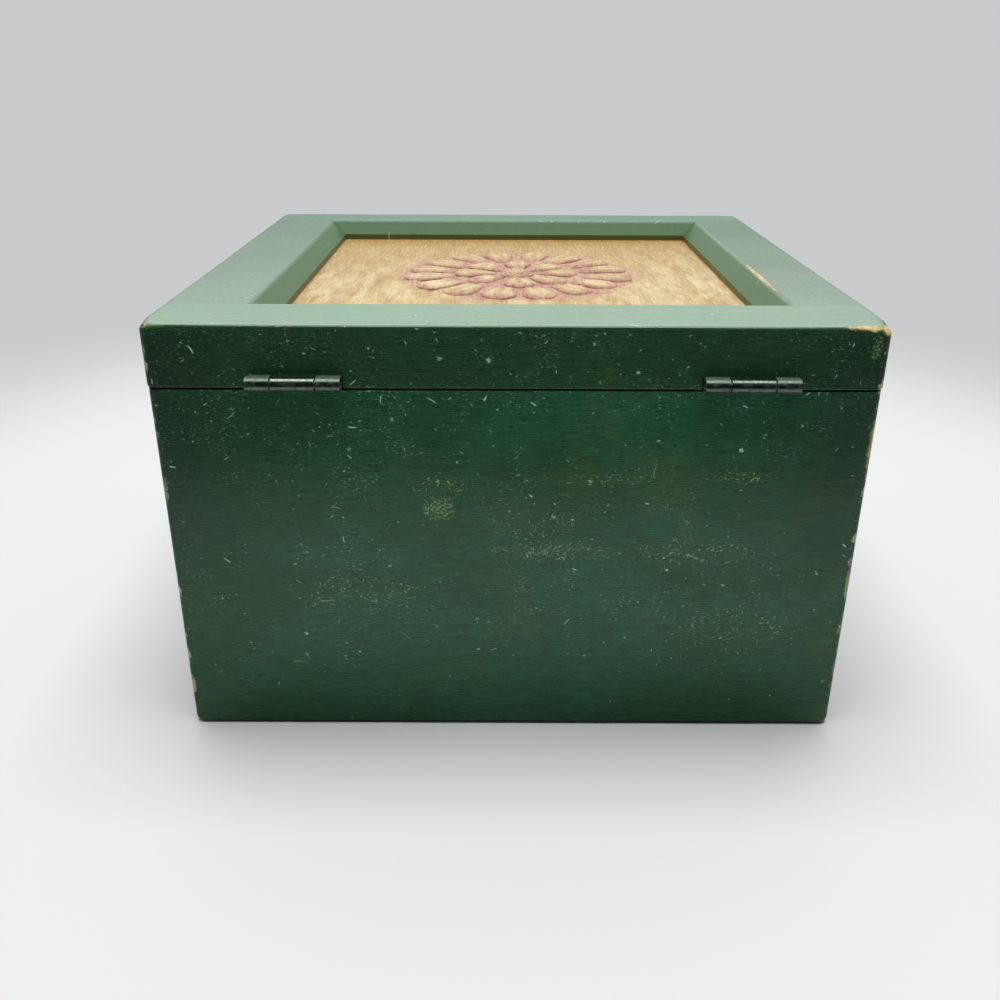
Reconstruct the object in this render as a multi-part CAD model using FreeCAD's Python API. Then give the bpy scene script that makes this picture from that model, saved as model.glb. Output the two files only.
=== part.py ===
import FreeCAD, Part
import math
import os

# A square wooden keepsake box. Four rebated walls stand round a flush bottom. The lid is a frame
# with a bevelled opening that shows a plaque, and it swings on two small butt hinges at the rear.
# Millimetres. X runs to the right as seen from the front, Y to the rear and Z up.
# The origin is the middle of the underside of the walls.

V = FreeCAD.Vector
UP = V(0, 0, 1)

# Walls and bottom
box_width = 196.0
box_depth = 196.0
box_height = 107.8
wall_thickness = 12.0
corner_tongue = 5.0
bottom_thickness = 6.0
bottom_rebate = 6.0

# Eased outside edges
corner_radius = 3.0
foot_radius = 2.0
seam_radius = 0.6
lid_edge_radius = 0.8

# Lid frame: widths of the flat top of each rail, then the shape of the inner edge
lid_thickness = 17.2
lid_side_overhang = 0.3
front_rail_width = 15.5
rear_rail_width = 24.6
left_rail_width = 19.7
right_rail_width = 23.1
bevel_width = 6.1
bevel_drop = 5.2
lip_height = 2.0
frame_rebate = 5.0

# Plaque and the board behind it
plaque_thickness = 4.0
backing_thickness = 3.0
panel_clearance = 0.25

# Rosette in low relief on the plaque: a boss and two rings of teardrop petals
boss_diameter = 11.0
boss_height = 1.6
inner_petal_count = 8
inner_root_reach = 9.0
inner_root_radius = 2.0
inner_tip_reach = 17.0
inner_tip_radius = 5.2
outer_petal_count = 16
outer_root_reach = 25.5
outer_root_radius = 3.4
outer_tip_reach = 34.5
outer_tip_radius = 5.6
ring_turn_share = 0.5
petal_height = 1.2
petal_rounding = 0.8

# Brads that hold the backing, two to each rail
brad_diameter = 1.2
brad_head_diameter = 2.0
brad_head_length = 0.5
brad_length = 12.0
brad_grip = 6.0
brad_clearance = 0.03
brad_place_shares = (0.22, 0.78)

# Hinges
hinge_length = 25.0
left_hinge_inset = 23.1
right_hinge_inset = 27.1
pin_diameter = 2.0
pin_head_diameter = 3.0
pin_head_length = 0.4
pin_clearance = 0.05
leaf_thickness = 0.9
leaf_reach = 10.0
leaf_corner_radius = 1.0
end_knuckle_length = 6.4
knuckle_gap = 0.4
knuckle_clearance = 0.2
mortise_clearance = 0.4

# Hinge screws, two to each leaf
screw_length = 10.0
screw_diameter = 1.8
screw_head_diameter = 3.6
screw_tip_length = 2.5
screw_tip_diameter = 0.3
screw_slot_width = 0.5
screw_slot_depth = 0.4
screw_clearance = 0.03
screw_place_shares = (0.22, 0.78)

# Cuts run past the solid by this much
overrun = 1.0

# Places that follow from the sizes
half_width = box_width / 2
half_depth = box_depth / 2
lid_half_width = half_width + lid_side_overhang
lid_width = lid_half_width * 2
inner_half_width = half_width - wall_thickness
inner_half_depth = half_depth - wall_thickness
seam_z = box_height
top_z = seam_z + lid_thickness
bevel_z = top_z - bevel_drop
lip_z = bevel_z - lip_height
plaque_back_z = lip_z - plaque_thickness
backing_back_z = plaque_back_z - backing_thickness
rebate_step = bevel_width - frame_rebate
rebate_left_x = -lid_half_width + left_rail_width + rebate_step
rebate_right_x = lid_half_width - right_rail_width - rebate_step
rebate_front_y = -half_depth + front_rail_width + rebate_step
rebate_rear_y = half_depth - rear_rail_width - rebate_step
pin_radius = pin_diameter / 2
barrel_radius = pin_radius + leaf_thickness
hinge_y = half_depth + barrel_radius
hinge_z = seam_z + barrel_radius
leaf_free_y = hinge_y - leaf_reach
leaf_cut_y = hinge_y - barrel_radius - knuckle_clearance
left_hinge_x = -half_width + left_hinge_inset
right_hinge_x = half_width - right_hinge_inset - hinge_length


def block(x0, x1, y0, y1, z0, z1):
    return Part.makeBox(x1 - x0, y1 - y0, z1 - z0, V(x0, y0, z0))


def upright_edges(shape):
    return [e for e in shape.Edges if e.BoundBox.ZLength > max(e.BoundBox.XLength, e.BoundBox.YLength)]


def level_edges(shape, z, slack):
    return [e for e in shape.Edges if max(abs(v.Z - z) for v in e.Vertexes) < slack]


def eased_block(reach_x, z0, z1, lower_radius, upper_radius):
    # The outside of the box or of the lid, with its corners and its rims eased
    body = block(-reach_x, reach_x, -half_depth, half_depth, z0, z1)
    body = body.makeFillet(corner_radius, upright_edges(body))
    slack = lower_radius / 2
    body = body.makeFillet(lower_radius, level_edges(body, z0, slack))
    slack = upper_radius / 2
    return body.makeFillet(upper_radius, level_edges(body, z1, slack))


# Box

def bottom_panel():
    reach_x = inner_half_width + bottom_rebate
    reach_y = inner_half_depth + bottom_rebate
    return block(-reach_x, reach_x, -reach_y, reach_y, 0, bottom_thickness)


def cross_wall(side):
    # Front wall for side -1, rear wall for side 1: full width, rebated at both ends
    inner_y, outer_y = sorted((side * inner_half_depth, side * half_depth))
    wall = block(-half_width, half_width, inner_y, outer_y, 0, box_height)
    for end in (-1, 1):
        wall = wall.cut(side_wall_block(end))
    return wall.common(eased_block(half_width, 0, box_height, foot_radius, seam_radius)).cut(bottom_panel())


def side_wall_block(side):
    inner_x, outer_x = sorted((side * inner_half_width, side * half_width))
    reach_y = half_depth - corner_tongue
    return block(inner_x, outer_x, -reach_y, reach_y, 0, box_height)


def side_wall(side):
    wall = side_wall_block(side)
    return wall.common(eased_block(half_width, 0, box_height, foot_radius, seam_radius)).cut(bottom_panel())


def rear_wall():
    wall = cross_wall(1)
    for hole in leaf_screws(seam_z + leaf_thickness, -1, screw_clearance):
        wall = wall.cut(hole)
    return wall


# Lid frame

def rail_bar(corner, inward, along, length, width):
    # A full length rail: flat top, bevel, upright lip, and a rebate below for the panels
    lip_reach = width + bevel_width
    rebate_reach = width + rebate_step
    outline = (
        (0, seam_z),
        (0, top_z),
        (width, top_z),
        (lip_reach, bevel_z),
        (lip_reach, lip_z),
        (rebate_reach, lip_z),
        (rebate_reach, seam_z),
    )
    points = [corner + inward * reach + UP * z for reach, z in outline]
    return Part.Face(Part.makePolygon(points + points[:1])).extrude(along * length)


def front_bar():
    return rail_bar(V(-lid_half_width, -half_depth, 0), V(0, 1, 0), V(1, 0, 0), lid_width, front_rail_width)


def rear_bar():
    return rail_bar(V(-lid_half_width, half_depth, 0), V(0, -1, 0), V(1, 0, 0), lid_width, rear_rail_width)


def left_bar():
    return rail_bar(V(-lid_half_width, -half_depth, 0), V(1, 0, 0), V(0, 1, 0), box_depth, left_rail_width)


def right_bar():
    return rail_bar(V(lid_half_width, -half_depth, 0), V(-1, 0, 0), V(0, 1, 0), box_depth, right_rail_width)


def finished_rail(bar):
    rail = bar.common(eased_block(lid_half_width, seam_z, top_z, seam_radius, lid_edge_radius))
    for hole in brads(brad_clearance):
        rail = rail.cut(hole)
    return rail


def coped_rail(bar):
    # A side rail, its ends shaped to sit over the bevels of the front and rear rails
    return finished_rail(bar.cut(front_bar()).cut(rear_bar()))


def lid_rear_rail():
    rail = finished_rail(rear_bar())
    mortise_y = leaf_free_y - mortise_clearance
    mortise_top = hinge_z + barrel_radius
    for start_x in (left_hinge_x, right_hinge_x):
        x0 = start_x - mortise_clearance
        x1 = start_x + hinge_length + mortise_clearance
        rail = rail.cut(block(x0, x1, mortise_y, half_depth + overrun, seam_z - overrun, mortise_top))
    for hole in leaf_screws(mortise_top - leaf_thickness, 1, screw_clearance):
        rail = rail.cut(hole)
    return rail


# Panels in the lid

def panel(z0, z1):
    x0 = rebate_left_x + panel_clearance
    x1 = rebate_right_x - panel_clearance
    y0 = rebate_front_y + panel_clearance
    y1 = rebate_rear_y - panel_clearance
    return block(x0, x1, y0, y1, z0, z1)


def petal(root_reach, root_radius, tip_reach, tip_radius):
    # A teardrop pad that points along X from the middle: two circles and their outer tangents
    lean = (root_radius - tip_radius) / (tip_reach - root_reach)
    side = math.sqrt(1 - lean * lean)
    root_left = V(root_reach + root_radius * lean, root_radius * side, lip_z)
    root_right = V(root_left.x, -root_left.y, lip_z)
    tip_left = V(tip_reach + tip_radius * lean, tip_radius * side, lip_z)
    tip_right = V(tip_left.x, -tip_left.y, lip_z)
    outline = Part.Wire([
        Part.LineSegment(root_left, tip_left).toShape(),
        Part.Arc(tip_left, V(tip_reach + tip_radius, 0, lip_z), tip_right).toShape(),
        Part.LineSegment(tip_right, root_right).toShape(),
        Part.Arc(root_right, V(root_reach - root_radius, 0, lip_z), root_left).toShape(),
    ])
    pad = Part.Face(outline).extrude(UP * petal_height)
    return pad.makeFillet(petal_rounding, level_edges(pad, lip_z + petal_height, petal_height / 2))


def petal_ring(pad, count, first_share):
    step = 360 / count
    turned = []
    for number in range(count):
        copy = pad.copy()
        copy.rotate(V(0, 0, 0), UP, step * (number + first_share))
        turned.append(copy)
    return turned


def relief_plaque():
    middle = V((rebate_left_x + rebate_right_x) / 2, (rebate_front_y + rebate_rear_y) / 2, 0)
    boss = Part.makeCylinder(boss_diameter / 2, boss_height, V(0, 0, lip_z))
    boss = boss.makeFillet(petal_rounding, level_edges(boss, lip_z + boss_height, boss_height / 2))
    inner = petal(inner_root_reach, inner_root_radius, inner_tip_reach, inner_tip_radius)
    outer = petal(outer_root_reach, outer_root_radius, outer_tip_reach, outer_tip_radius)
    pads = [boss]
    pads += petal_ring(inner, inner_petal_count, 0)
    pads += petal_ring(outer, outer_petal_count, ring_turn_share)
    for pad in pads:
        pad.translate(middle)
    return panel(plaque_back_z, lip_z).fuse(pads)


def brad(foot, inward, clearance):
    # Driven level into the rebate's wall at foot; its head bears on the back of the backing
    point = foot - inward * (brad_grip + clearance)
    shank = Part.makeCylinder(brad_diameter / 2 + clearance, brad_length + clearance, point, inward)
    head_at = foot + inward * (brad_length - brad_grip - brad_head_length)
    return shank.fuse(Part.makeCylinder(brad_head_diameter / 2, brad_head_length, head_at, inward))


def brads(clearance):
    z = backing_back_z - brad_head_diameter / 2
    span_x = rebate_right_x - rebate_left_x
    span_y = rebate_rear_y - rebate_front_y
    made = []
    for share in brad_place_shares:
        x = rebate_left_x + span_x * share
        y = rebate_front_y + span_y * share
        made.append(brad(V(x, rebate_front_y, z), V(0, 1, 0), clearance))
        made.append(brad(V(x, rebate_rear_y, z), V(0, -1, 0), clearance))
        made.append(brad(V(rebate_left_x, y, z), V(1, 0, 0), clearance))
        made.append(brad(V(rebate_right_x, y, z), V(-1, 0, 0), clearance))
    return made


# Hinges

def leaf_plate(start_x, z0):
    plate = block(start_x, start_x + hinge_length, leaf_free_y, leaf_cut_y, z0, z0 + leaf_thickness)
    slack = leaf_corner_radius / 2
    corners = [e for e in upright_edges(plate) if abs(e.CenterOfMass.y - leaf_free_y) < slack]
    return plate.makeFillet(leaf_corner_radius, corners)


def leaf(start_x, z0, spans, bore_radius, screw_z, screw_way):
    # A flat plate whose edge is rolled into a knuckle over each span
    made = leaf_plate(start_x, z0)
    for first, last in spans:
        x0 = start_x + first
        x1 = start_x + last
        knuckle = Part.makeCylinder(barrel_radius, x1 - x0, V(x0, hinge_y, hinge_z), V(1, 0, 0))
        neck = block(x0, x1, leaf_cut_y, hinge_y, z0, z0 + leaf_thickness)
        made = made.fuse(neck).fuse(knuckle)
    bore_x = start_x - overrun
    bore_length = hinge_length + overrun + overrun
    made = made.cut(Part.makeCylinder(bore_radius, bore_length, V(bore_x, hinge_y, hinge_z), V(1, 0, 0)))
    for hole in leaf_screws(screw_z, screw_way, screw_clearance):
        made = made.cut(hole)
    return made.removeSplitter()


def box_leaf(start_x):
    spans = ((end_knuckle_length + knuckle_gap, hinge_length - end_knuckle_length - knuckle_gap),)
    return leaf(start_x, seam_z, spans, pin_radius + pin_clearance, seam_z + leaf_thickness, -1)


def lid_leaf(start_x):
    spans = ((0, end_knuckle_length), (hinge_length - end_knuckle_length, hinge_length))
    z0 = hinge_z + barrel_radius - leaf_thickness
    return leaf(start_x, z0, spans, pin_radius, z0, 1)


def hinge_pin(start_x):
    # Peened over at both ends
    axis = V(1, 0, 0)
    pin = Part.makeCylinder(pin_radius, hinge_length, V(start_x, hinge_y, hinge_z), axis)
    for x, way in ((start_x, -1), (start_x + hinge_length, 1)):
        place = V(x, hinge_y, hinge_z)
        head = Part.makeCone(pin_head_diameter / 2, pin_radius, pin_head_length, place, axis * way)
        pin = pin.fuse(head)
    return pin.removeSplitter()


def screw(place, way, clearance):
    # Countersunk wood screw: place is the middle of the flat head, way is up or down for the point
    axis = UP * way
    shank_radius = screw_diameter / 2 + clearance
    head_radius = screw_head_diameter / 2 + clearance
    tip_radius = screw_tip_diameter / 2 + clearance
    shank_length = screw_length - leaf_thickness - screw_tip_length
    made = Part.makeCone(head_radius, shank_radius, leaf_thickness, place, axis)
    made = made.fuse(Part.makeCylinder(shank_radius, shank_length, place + axis * leaf_thickness, axis))
    tip_at = place + axis * (leaf_thickness + shank_length)
    return made.fuse(Part.makeCone(shank_radius, tip_radius, screw_tip_length + clearance, tip_at, axis))


def slotted(made, place, way):
    reach = screw_head_diameter / 2 + overrun
    z0, z1 = sorted((place.z - way * overrun, place.z + way * screw_slot_depth))
    half_slot = screw_slot_width / 2
    slot = block(place.x - reach, place.x + reach, place.y - half_slot, place.y + half_slot, z0, z1)
    return made.cut(slot).removeSplitter()


def screw_places(z):
    y = (leaf_free_y + leaf_cut_y) / 2
    starts = (left_hinge_x, right_hinge_x)
    return [V(start + hinge_length * share, y, z) for start in starts for share in screw_place_shares]


def leaf_screws(z, way, clearance):
    return [screw(place, way, clearance) for place in screw_places(z)]


def screw_set(z, way):
    return [slotted(screw(place, way, 0), place, way) for place in screw_places(z)]


nodes = {
    "front_wall": [cross_wall(-1)],
    "rear_wall": [rear_wall()],
    "left_wall": [side_wall(-1)],
    "right_wall": [side_wall(1)],
    "bottom_panel": [bottom_panel()],
    "lid_front_rail": [finished_rail(front_bar())],
    "lid_rear_rail": [lid_rear_rail()],
    "lid_left_rail": [coped_rail(left_bar())],
    "lid_right_rail": [coped_rail(right_bar())],
    "relief_plaque": [relief_plaque()],
    "lid_backing": [panel(backing_back_z, plaque_back_z)],
    "backing_brads": [nail.removeSplitter() for nail in brads(0)],
    "hinge_left_box_leaf": [box_leaf(left_hinge_x)],
    "hinge_left_lid_leaf": [lid_leaf(left_hinge_x)],
    "hinge_left_pin": [hinge_pin(left_hinge_x)],
    "hinge_right_box_leaf": [box_leaf(right_hinge_x)],
    "hinge_right_lid_leaf": [lid_leaf(right_hinge_x)],
    "hinge_right_pin": [hinge_pin(right_hinge_x)],
    "box_leaf_screws": screw_set(seam_z + leaf_thickness, -1),
    "lid_leaf_screws": screw_set(hinge_z + barrel_radius - leaf_thickness, 1),
}

os.makedirs("parts", exist_ok=True)
for name, shapes in nodes.items():
    solids = [solid for shape in shapes for solid in shape.Solids]
    body = solids[0] if len(solids) == 1 else Part.makeCompound(solids)
    body.exportStep("parts/" + name + ".step")
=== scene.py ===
import math
import bmesh
import bpy
from mathutils import Matrix, Vector, noise


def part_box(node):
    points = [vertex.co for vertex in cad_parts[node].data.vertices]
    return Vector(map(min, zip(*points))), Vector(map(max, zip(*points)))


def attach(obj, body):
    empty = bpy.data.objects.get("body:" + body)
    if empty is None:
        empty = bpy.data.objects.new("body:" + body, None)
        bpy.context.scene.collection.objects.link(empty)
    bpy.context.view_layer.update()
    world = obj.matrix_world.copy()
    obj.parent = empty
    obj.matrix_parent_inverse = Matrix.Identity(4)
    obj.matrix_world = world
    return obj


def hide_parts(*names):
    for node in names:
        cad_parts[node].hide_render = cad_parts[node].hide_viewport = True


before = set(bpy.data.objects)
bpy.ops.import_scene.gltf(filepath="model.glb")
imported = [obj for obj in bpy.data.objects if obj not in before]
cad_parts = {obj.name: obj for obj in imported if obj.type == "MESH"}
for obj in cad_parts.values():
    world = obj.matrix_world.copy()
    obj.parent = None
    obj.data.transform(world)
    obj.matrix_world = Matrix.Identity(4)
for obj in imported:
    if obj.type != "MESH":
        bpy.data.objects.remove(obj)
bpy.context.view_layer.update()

scene = bpy.context.scene
scene.view_settings.view_transform = "Standard"

# painted boards and their paint, by body
boards = {
    "box": {
        "front_wall": "greenPaintFront", "rear_wall": "greenPaintRear",
        "left_wall": "greenPaintSide", "right_wall": "greenPaintSide",
    },
    "lid": {
        "lid_front_rail": "greenPaintLidAcross", "lid_rear_rail": "greenPaintLidAcross",
        "lid_left_rail": "greenPaintLidAlong", "lid_right_rail": "greenPaintLidAlong",
    },
}


# places worked out from the frame, in millimetres
def spanOf(nodes):
    pairs = [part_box(node) for node in nodes]
    low = [round(min(pair[0][i] for pair in pairs) * 1000, 3) for i in range(3)]
    high = [round(max(pair[1][i] for pair in pairs) * 1000, 3) for i in range(3)]
    return low, high


bodyBox = {body: spanOf(coats) for body, coats in boards.items()}
seamHeight = bodyBox["box"][1][2]
plaqueThickness = 4.0
plaqueLow, plaqueHigh = spanOf(["relief_plaque"])
plaqueFace = round(plaqueLow[2] + plaqueThickness, 3)
plaqueMiddle = [round((plaqueLow[i] + plaqueHigh[i]) / 2, 3) for i in range(2)]


def metres(*place):
    return [part / 1000 for part in place]


# small helpers for node trees; a node joins the tree of the sockets that feed it
def addNode(kind, plugs, tree=None, **settings):
    fed = [value for value in plugs.values() if isinstance(value, bpy.types.NodeSocket)]
    tree = tree or fed[0].id_data
    node = tree.nodes.new(kind)
    for name, value in settings.items():
        setattr(node, name, value)
    for plug, value in plugs.items():
        if isinstance(value, bpy.types.NodeSocket):
            tree.links.new(value, node.inputs[plug])
        else:
            node.inputs[plug].default_value = value
    return node


def maths(operation, *values):
    return addNode("ShaderNodeMath", dict(enumerate(values)), operation=operation).outputs[0]


def folded(operation):
    def run(first, *others):
        for other in others:
            first = maths(operation, first, other)
        return first
    return run


times, plus, minus = folded("MULTIPLY"), folded("ADD"), folded("SUBTRACT")
largest, smallest = folded("MAXIMUM"), folded("MINIMUM")


def vectorMaths(operation, *values):
    return addNode("ShaderNodeVectorMath", dict(enumerate(values)), operation=operation).outputs[0]


def lengthOf(vector):
    return addNode("ShaderNodeVectorMath", {0: vector}, operation="LENGTH").outputs["Value"]


def scaled(vector, factor):
    return addNode("ShaderNodeVectorMath", {0: vector, "Scale": factor}, operation="SCALE").outputs[0]


def splitXyz(vector, axes=(0, 1, 2)):
    parts = addNode("ShaderNodeSeparateXYZ", {0: vector}).outputs
    return [parts[axis] for axis in axes]


def joinXyz(x, y, z):
    return addNode("ShaderNodeCombineXYZ", {0: x, 1: y, 2: z}).outputs[0]


def ramp(value, fromLow, fromHigh, toLow=0.0, toHigh=1.0):
    plugs = {"Value": value, "From Min": fromLow, "From Max": fromHigh, "To Min": toLow, "To Max": toHigh}
    return addNode("ShaderNodeMapRange", plugs, interpolation_type="SMOOTHSTEP").outputs[0]


def cloud(place, scale, detail=3.0, roughness=0.55, twist=0.0):
    plugs = {"Vector": place, "Scale": scale, "Detail": detail, "Roughness": roughness, "Distortion": twist}
    return addNode("ShaderNodeTexNoise", plugs).outputs[0]


def patches(place, grain, edge):
    return ramp(cloud(place, *grain), *edge)


def blendTint(factor, first, second, how="MIX"):
    plugs = {0: factor, 6: first, 7: second}
    node = addNode("ShaderNodeMix", plugs, data_type="RGBA", blend_type=how, clamp_factor=True)
    return node.outputs[2]


def layered(colour, *coats):
    for share, shade in coats:
        colour = blendTint(share, colour, shade)
    return colour


def tint(red, green, blue):  # 0 to 255 screen colour to a linear one
    def straight(part):
        part /= 255
        return part / 12.92 if part <= 0.04045 else ((part + 0.055) / 1.055) ** 2.4
    return straight(red), straight(green), straight(blue), 1.0


def stretched(axis, share):  # squeezes one axis, so that a pattern runs along it
    return [share if i == axis else 1.0 for i in range(3)]


socketKinds = {"Geometry": "Geometry", "Count": "Int", "Seed": "Int", "Finish": "Material"}
socketKinds.update({label: "Vector" for label in "Position Low High Stretch Plane Centre Extent".split()})


def newGroup(name, inlets, outlets, kind="Shader"):
    tree = bpy.data.node_groups.new(name, kind + "NodeTree")
    for way, labels in (("INPUT", inlets), ("OUTPUT", outlets)):
        for label in labels.split():
            socket = "NodeSocket" + socketKinds.get(label, "Float")
            tree.interface.new_socket(label, in_out=way, socket_type=socket)
    return tree, tree.nodes.new("NodeGroupInput").outputs, tree.nodes.new("NodeGroupOutput").inputs


def deliver(tree, outs, values):
    for label, value in values.items():
        tree.links.new(value, outs[label])
    return tree


def placeGroup(name, *values):  # values in the order of the group's inlets
    return addNode("ShaderNodeGroup", dict(enumerate(values)), node_tree=groups[name]).outputs


# masks, lengths in mm
maskLook = {  # ramps are from, to and what they give there; clouds are scale, detail, roughness, twist
    "farShift": 413.0, "topShift": 271.0,  # keep the flat maps of different faces apart
    "fineLine": (5.0, 0.62, 0.3), "broadLine": (3.0, 0.5, 0.6), "broadScale": 0.22,  # scaled by the fineness
    "shakeScale": 2.6, "shake": (2.2, 1.5, 0.0),
    "fleckSize": (0.75, 0.25), "fleckSoft": 0.55, "fleckPower": 1.5, "strength": (0.8, 0.2),  # spread, least
    "scuffPower": 2.0, "scuffLength": (0.45, 0.06), "scuffWidth": (0.55, 0.3), "scuffSoft": 0.4,
    "faintDraw": 9.7, "luckDraw": 17.31,  # turn one random number into another
    "gritStretch": 0.45, "grit": (3.0, 0.75), "gritSoft": 0.1,
    "rubPatch": (3.0, 0.6), "rubRagged": (0.9, 3.0, 0.65), "rubSoft": 0.22, "rubEdge": (-0.15, 0.35),
    "blotTorn": (0.55, 4.0, 0.65), "blotEdge": (0.45, 1.0, 1.0, 0.0),
    "ringField": (0.03, 3.0, 0.4, 0.5), "ringEdge": (-0.3, 1.0), "pores": ((2.2, 2.0, 0.5), (0.58, 0.7)),
}


# how far a point is from the outer faces of its body, and a flat map of the face it lies on
def makeBoardFaces():
    tree, ins, outs = newGroup("boardFaces", "Position Low High", "Skin Edge Corner Flank Upright Plane")
    below = splitXyz(vectorMaths("SUBTRACT", ins["Position"], ins["Low"]))
    above = splitXyz(vectorMaths("SUBTRACT", ins["High"], ins["Position"]))
    dx, dy, dz = (smallest(below[i], above[i]) for i in range(3))
    flank, upright = smallest(dx, dy), largest(dx, dy)
    skin, corner = smallest(flank, dz), largest(upright, dz)
    edge = minus(plus(dx, dy, dz), skin, corner)
    px, py, pz = splitXyz(ins["Position"])
    onTop = maths("LESS_THAN", dz, flank)
    onSide = times(maths("LESS_THAN", dx, dy), minus(1.0, onTop))
    farSide = plus(maths("GREATER_THAN", px, 0.0), maths("GREATER_THAN", py, 0.0))
    across = plus(px, times(onSide, minus(py, px)), times(farSide, maskLook["farShift"]))
    upward = plus(pz, times(onTop, minus(py, pz)), times(onTop, maskLook["topShift"]))
    found = {"Skin": skin, "Edge": edge, "Corner": corner, "Flank": flank, "Upright": upright}
    return deliver(tree, outs, found | {"Plane": joinXyz(across, upward, 0.0)})


# long thin lines that follow the brush or the timber, fine and broad
def makeGrainLines():
    tree, ins, outs = newGroup("grainLines", "Position Stretch Fineness", "Fine Broad")
    drawn = vectorMaths("MULTIPLY", ins["Position"], ins["Stretch"])
    fine = cloud(drawn, ins["Fineness"], *maskLook["fineLine"])
    broad = cloud(drawn, times(ins["Fineness"], maskLook["broadScale"]), *maskLook["broadLine"])
    return deliver(tree, outs, {"Fine": fine, "Broad": broad})


# one spot to a cell, with three random numbers of its own
def scatter(plane, cell):
    plugs = {"Vector": plane, "Scale": maths("DIVIDE", 1.0, cell)}
    cells = addNode("ShaderNodeTexVoronoi", plugs, voronoi_dimensions="2D").outputs
    return cells, addNode("ShaderNodeSeparateColor", {0: cells["Color"]}).outputs


# small chips of paint, scattered one to a cell
def makeFlecks():
    tree, ins, outs = newGroup("flecks", "Plane Cell Share Size", "Mask")
    look = maskLook
    plugs = {"Vector": ins["Plane"], "Scale": look["shakeScale"], "Detail": 2.0}
    shaky = addNode("ShaderNodeTexNoise", plugs).outputs["Color"]
    shift = vectorMaths("MULTIPLY", vectorMaths("SUBTRACT", shaky, (0.5, 0.5, 0.5)), look["shake"])
    cells, (chance, bulk, other) = scatter(vectorMaths("ADD", ins["Plane"], shift), ins["Cell"])
    away = times(cells["Distance"], ins["Cell"])
    radius = times(ins["Size"], maths("MULTIPLY_ADD", bulk, *look["fleckSize"]))
    shape = ramp(away, times(radius, look["fleckSoft"]), radius, 1.0, 0.0)
    there = maths("LESS_THAN", chance, ins["Share"])
    strong = maths("MULTIPLY_ADD", maths("POWER", other, look["fleckPower"]), *look["strength"])
    return deliver(tree, outs, {"Mask": times(shape, there, strong)})


# short bent scratches, each turned its own way
def makeScuffs():
    tree, ins, outs = newGroup("scuffs", "Plane Cell Share Length Width Bend", "Mask")
    look = maskLook
    cells, (turn, curve, size) = scatter(ins["Plane"], ins["Cell"])
    local = vectorMaths("SUBTRACT", ins["Plane"], cells["Position"])
    plugs = {"Vector": local, "Angle": times(turn, math.tau)}
    turned = addNode("ShaderNodeVectorRotate", plugs, rotation_type="Z_AXIS").outputs[0]
    along, across = splitXyz(turned, (0, 1))
    across = plus(across, times(along, along, minus(curve, 0.5), ins["Bend"]))
    spread = maths("POWER", size, look["scuffPower"])
    half = times(ins["Length"], maths("MULTIPLY_ADD", spread, *look["scuffLength"]))
    ends = ramp(maths("ABSOLUTE", along), times(half, look["scuffSoft"]), half, 1.0, 0.0)
    faint = maths("FRACT", times(size, look["faintDraw"]))
    width = times(ins["Width"], maths("MULTIPLY_ADD", faint, *look["scuffWidth"]))
    sides = ramp(maths("ABSOLUTE", across), times(width, look["scuffSoft"]), width, 1.0, 0.0)
    there = maths("LESS_THAN", maths("FRACT", times(curve, look["luckDraw"])), ins["Share"])
    strong = times(there, maths("MULTIPLY_ADD", faint, *look["strength"]))
    return deliver(tree, outs, {"Mask": times(ends, sides, strong)})


# fine dusty speckle that follows the brush lines
def makeSpeckle():
    tree, ins, outs = newGroup("speckle", "Plane Fineness Level", "Mask")
    drawn = vectorMaths("MULTIPLY", ins["Plane"], stretched(0, maskLook["gritStretch"]))
    grit = cloud(drawn, ins["Fineness"], *maskLook["grit"])
    return deliver(tree, outs, {"Mask": ramp(grit, ins["Level"], plus(ins["Level"], maskLook["gritSoft"]))})


# paint rubbed off along an edge, in a ragged line
def makeEdgeRub():
    tree, ins, outs = newGroup("edgeRub", "Distance Position Reach Patchy Spread", "Mask")
    patch = cloud(ins["Position"], ins["Spread"], *maskLook["rubPatch"])
    ragged = cloud(ins["Position"], *maskLook["rubRagged"])
    where = ramp(patch, ins["Patchy"], plus(ins["Patchy"], maskLook["rubSoft"]))
    reach = times(ins["Reach"], where, times(ragged, 2.0))
    return deliver(tree, outs, {"Mask": ramp(minus(reach, ins["Distance"]), *maskLook["rubEdge"])})


# a soft blot round one point
def makeBlot():
    tree, ins, outs = newGroup("blot", "Position Centre Extent Ragged", "Mask")
    offset = vectorMaths("SUBTRACT", ins["Position"], ins["Centre"])
    away = lengthOf(vectorMaths("DIVIDE", offset, ins["Extent"]))
    torn = times(minus(cloud(ins["Position"], *maskLook["blotTorn"]), 0.5), ins["Ragged"])
    return deliver(tree, outs, {"Mask": ramp(plus(away, torn), *maskLook["blotEdge"])})


# figure of sawn timber: long growth rings and short dark pores
def makeTimberFigure():
    tree, ins, outs = newGroup("timberFigure", "Position Stretch Frequency", "Rings Pores")
    drawn = vectorMaths("MULTIPLY", ins["Position"], ins["Stretch"])
    wave = maths("SINE", times(cloud(drawn, *maskLook["ringField"]), ins["Frequency"]))
    found = {"Rings": ramp(wave, *maskLook["ringEdge"]), "Pores": patches(drawn, *maskLook["pores"])}
    return deliver(tree, outs, found)


groups = {
    "faces": makeBoardFaces(), "grain": makeGrainLines(), "flecks": makeFlecks(), "scuffs": makeScuffs(),
    "speckle": makeSpeckle(), "rub": makeEdgeRub(), "blot": makeBlot(), "figure": makeTimberFigure(),
}
print("shader groups ready:", len(groups))


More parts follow.
